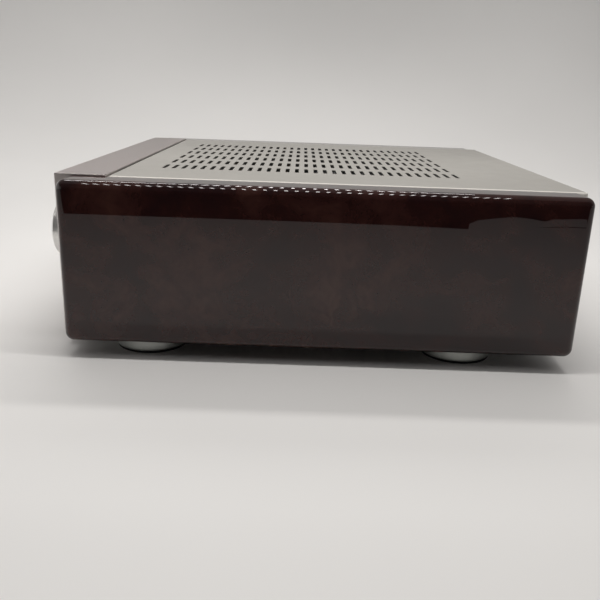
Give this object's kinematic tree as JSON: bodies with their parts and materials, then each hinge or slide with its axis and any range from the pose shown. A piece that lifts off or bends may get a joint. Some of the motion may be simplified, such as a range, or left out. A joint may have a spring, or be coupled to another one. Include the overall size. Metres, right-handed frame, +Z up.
{
  "type": "integrated amplifier",
  "caption": "Full-width stereo integrated amplifier with thick lacquered burl side panels, a silver front panel that wraps over the top, a vented grey cover, knobs and rear terminals.",
  "frame": {"origin": "on the surface it stands on, at the centre of the bounding box", "axes": "+Z up, -Y towards the user (front panel), +X to the right-hand side seen from the front"},
  "size_m": [0.44, 0.4712, 0.1442],
  "materials": {
    "cover_paint": "satin warm light grey paint on folded steel",
    "panel_silver": "fine satin, warm silver anodised",
    "burl_lacquer": "dark red-brown burl veneer under thick polished clear lacquer",
    "steel": "plated sheet steel",
    "knob_silver": "turned and satin anodised",
    "foot_silver": "satin silver",
    "foot_rubber": "matt",
    "black_plastic": "moulded",
    "terminal_black": "moulded",
    "terminal_red": "moulded",
    "brass": "gold plated",
    "rear_black": "fine textured black paint",
    "heatsink_black": "black anodised extrusion",
    "board_green": "glass-epoxy board with green solder mask",
    "board_brown": "phenolic paper board",
    "winding_tape": "amber polyester tape over the windings",
    "capacitor_sleeve": "shrink sleeve",
    "lamp_lens": "diffusing lens"
  },
  "bodies": {
    "root": {"top_cover": "cover_paint", "front_panel": "panel_silver", "side_panel_right": "burl_lacquer", "side_panel_left": "burl_lacquer", "chassis_base": "steel", "front_subchassis": "steel", "volume_pot": "steel", "bass_pot": "steel", "treble_pot": "steel", "balance_pot": "steel", "transformer_clamp": "steel", "foot_front_right": "foot_silver", "foot_front_left": "foot_silver", "foot_rear_right": "foot_silver", "foot_rear_left": "foot_silver", "foot_pad_front_right": "foot_rubber", "foot_pad_front_left": "foot_rubber", "foot_pad_rear_right": "foot_rubber", "foot_pad_rear_left": "foot_rubber", "input_selector_switch": "black_plastic", "power_switch": "black_plastic", "direct_switch": "black_plastic", "headphone_jack": "black_plastic", "mains_inlet": "black_plastic", "line_jack_block": "black_plastic", "speaker_terminal_block": "black_plastic", "output_module_left": "black_plastic", "output_module_right": "black_plastic", "speaker_relay": "black_plastic", "terminal_stud_right_negative": "brass", "terminal_stud_right_positive": "brass", "terminal_stud_left_negative": "brass", "terminal_stud_left_positive": "brass", "rear_panel": "rear_black", "main_heatsink": "heatsink_black", "power_amp_board": "board_green", "input_board": "board_green", "tone_control_board": "board_brown", "power_supply_board": "board_brown", "mains_transformer": "winding_tape", "filter_capacitor_front": "capacitor_sleeve", "filter_capacitor_rear": "capacitor_sleeve", "power_lamp": "lamp_lens"},
    "volume_control": {"volume_knob": "knob_silver", "volume_shaft": "steel"},
    "input_control": {"input_knob": "knob_silver", "input_shaft": "steel"},
    "bass_control": {"bass_knob": "knob_silver"},
    "treble_control": {"treble_knob": "knob_silver"},
    "balance_control": {"balance_knob": "knob_silver"},
    "power_key": {"power_button": "knob_silver"},
    "direct_key": {"direct_button": "knob_silver"},
    "clamp_right_negative": {"clamp_washer_right_negative": "brass"},
    "cap_right_negative": {"terminal_cap_right_negative": "terminal_black"},
    "clamp_right_positive": {"clamp_washer_right_positive": "brass"},
    "cap_right_positive": {"terminal_cap_right_positive": "terminal_red"},
    "clamp_left_negative": {"clamp_washer_left_negative": "brass"},
    "cap_left_negative": {"terminal_cap_left_negative": "terminal_black"},
    "clamp_left_positive": {"clamp_washer_left_positive": "brass"},
    "cap_left_positive": {"terminal_cap_left_positive": "terminal_red"}
  },
  "joints": [
    {"name": "volume_turn", "type": "hinge", "parent": "root", "child": "volume_control", "pos_m": [0.109, -0.2094, 0.0834], "axis": [0, 1, 0], "range_deg": [0, 300]},
    {"name": "input_turn", "type": "hinge", "parent": "root", "child": "input_control", "pos_m": [-0.109, -0.2094, 0.0834], "axis": [0, 1, 0], "range_deg": [-60, 60]},
    {"name": "bass_turn", "type": "hinge", "parent": "root", "child": "bass_control", "pos_m": [-0.062, -0.2094, 0.038], "axis": [0, 1, 0], "range_deg": [-140, 140]},
    {"name": "treble_turn", "type": "hinge", "parent": "root", "child": "treble_control", "pos_m": [-0.012, -0.2094, 0.038], "axis": [0, 1, 0], "range_deg": [-140, 140]},
    {"name": "balance_turn", "type": "hinge", "parent": "root", "child": "balance_control", "pos_m": [0.038, -0.2094, 0.038], "axis": [0, 1, 0], "range_deg": [-140, 140]},
    {"name": "power_press", "type": "slide", "parent": "root", "child": "power_key", "axis": [0, 1, 0], "range_m": [0, 0.003], "stiffness_N_per_m": 400},
    {"name": "direct_press", "type": "slide", "parent": "root", "child": "direct_key", "axis": [0, 1, 0], "range_m": [0, 0.0025], "stiffness_N_per_m": 300},
    {"name": "clamp_slide_right_negative", "type": "slide", "parent": "root", "child": "clamp_right_negative", "axis": [0, 1, 0], "range_m": [0, 0.004]},
    {"name": "cap_turn_right_negative", "type": "hinge", "parent": "clamp_right_negative", "child": "cap_right_negative", "pos_m": [-0.092, 0.217, 0.048], "axis": [0, 1, 0], "range_deg": [0, 1441]},
    {"name": "clamp_slide_right_positive", "type": "slide", "parent": "root", "child": "clamp_right_positive", "axis": [0, 1, 0], "range_m": [0, 0.004]},
    {"name": "cap_turn_right_positive", "type": "hinge", "parent": "clamp_right_positive", "child": "cap_right_positive", "pos_m": [-0.066, 0.217, 0.048], "axis": [0, 1, 0], "range_deg": [0, 1441]},
    {"name": "clamp_slide_left_negative", "type": "slide", "parent": "root", "child": "clamp_left_negative", "axis": [0, 1, 0], "range_m": [0, 0.004]},
    {"name": "cap_turn_left_negative", "type": "hinge", "parent": "clamp_left_negative", "child": "cap_left_negative", "pos_m": [-0.04, 0.217, 0.048], "axis": [0, 1, 0], "range_deg": [0, 1441]},
    {"name": "clamp_slide_left_positive", "type": "slide", "parent": "root", "child": "clamp_left_positive", "axis": [0, 1, 0], "range_m": [0, 0.004]},
    {"name": "cap_turn_left_positive", "type": "hinge", "parent": "clamp_left_positive", "child": "cap_left_positive", "pos_m": [-0.014, 0.217, 0.048], "axis": [0, 1, 0], "range_deg": [0, 1441]}
  ],
  "couplings": [
    {"joint": "cap_turn_right_negative", "follows": "clamp_slide_right_negative", "rad_per_m": 6283.2},
    {"joint": "cap_turn_right_positive", "follows": "clamp_slide_right_positive", "rad_per_m": 6283.2},
    {"joint": "cap_turn_left_negative", "follows": "clamp_slide_left_negative", "rad_per_m": 6283.2},
    {"joint": "cap_turn_left_positive", "follows": "clamp_slide_left_positive", "rad_per_m": 6283.2}
  ]
}
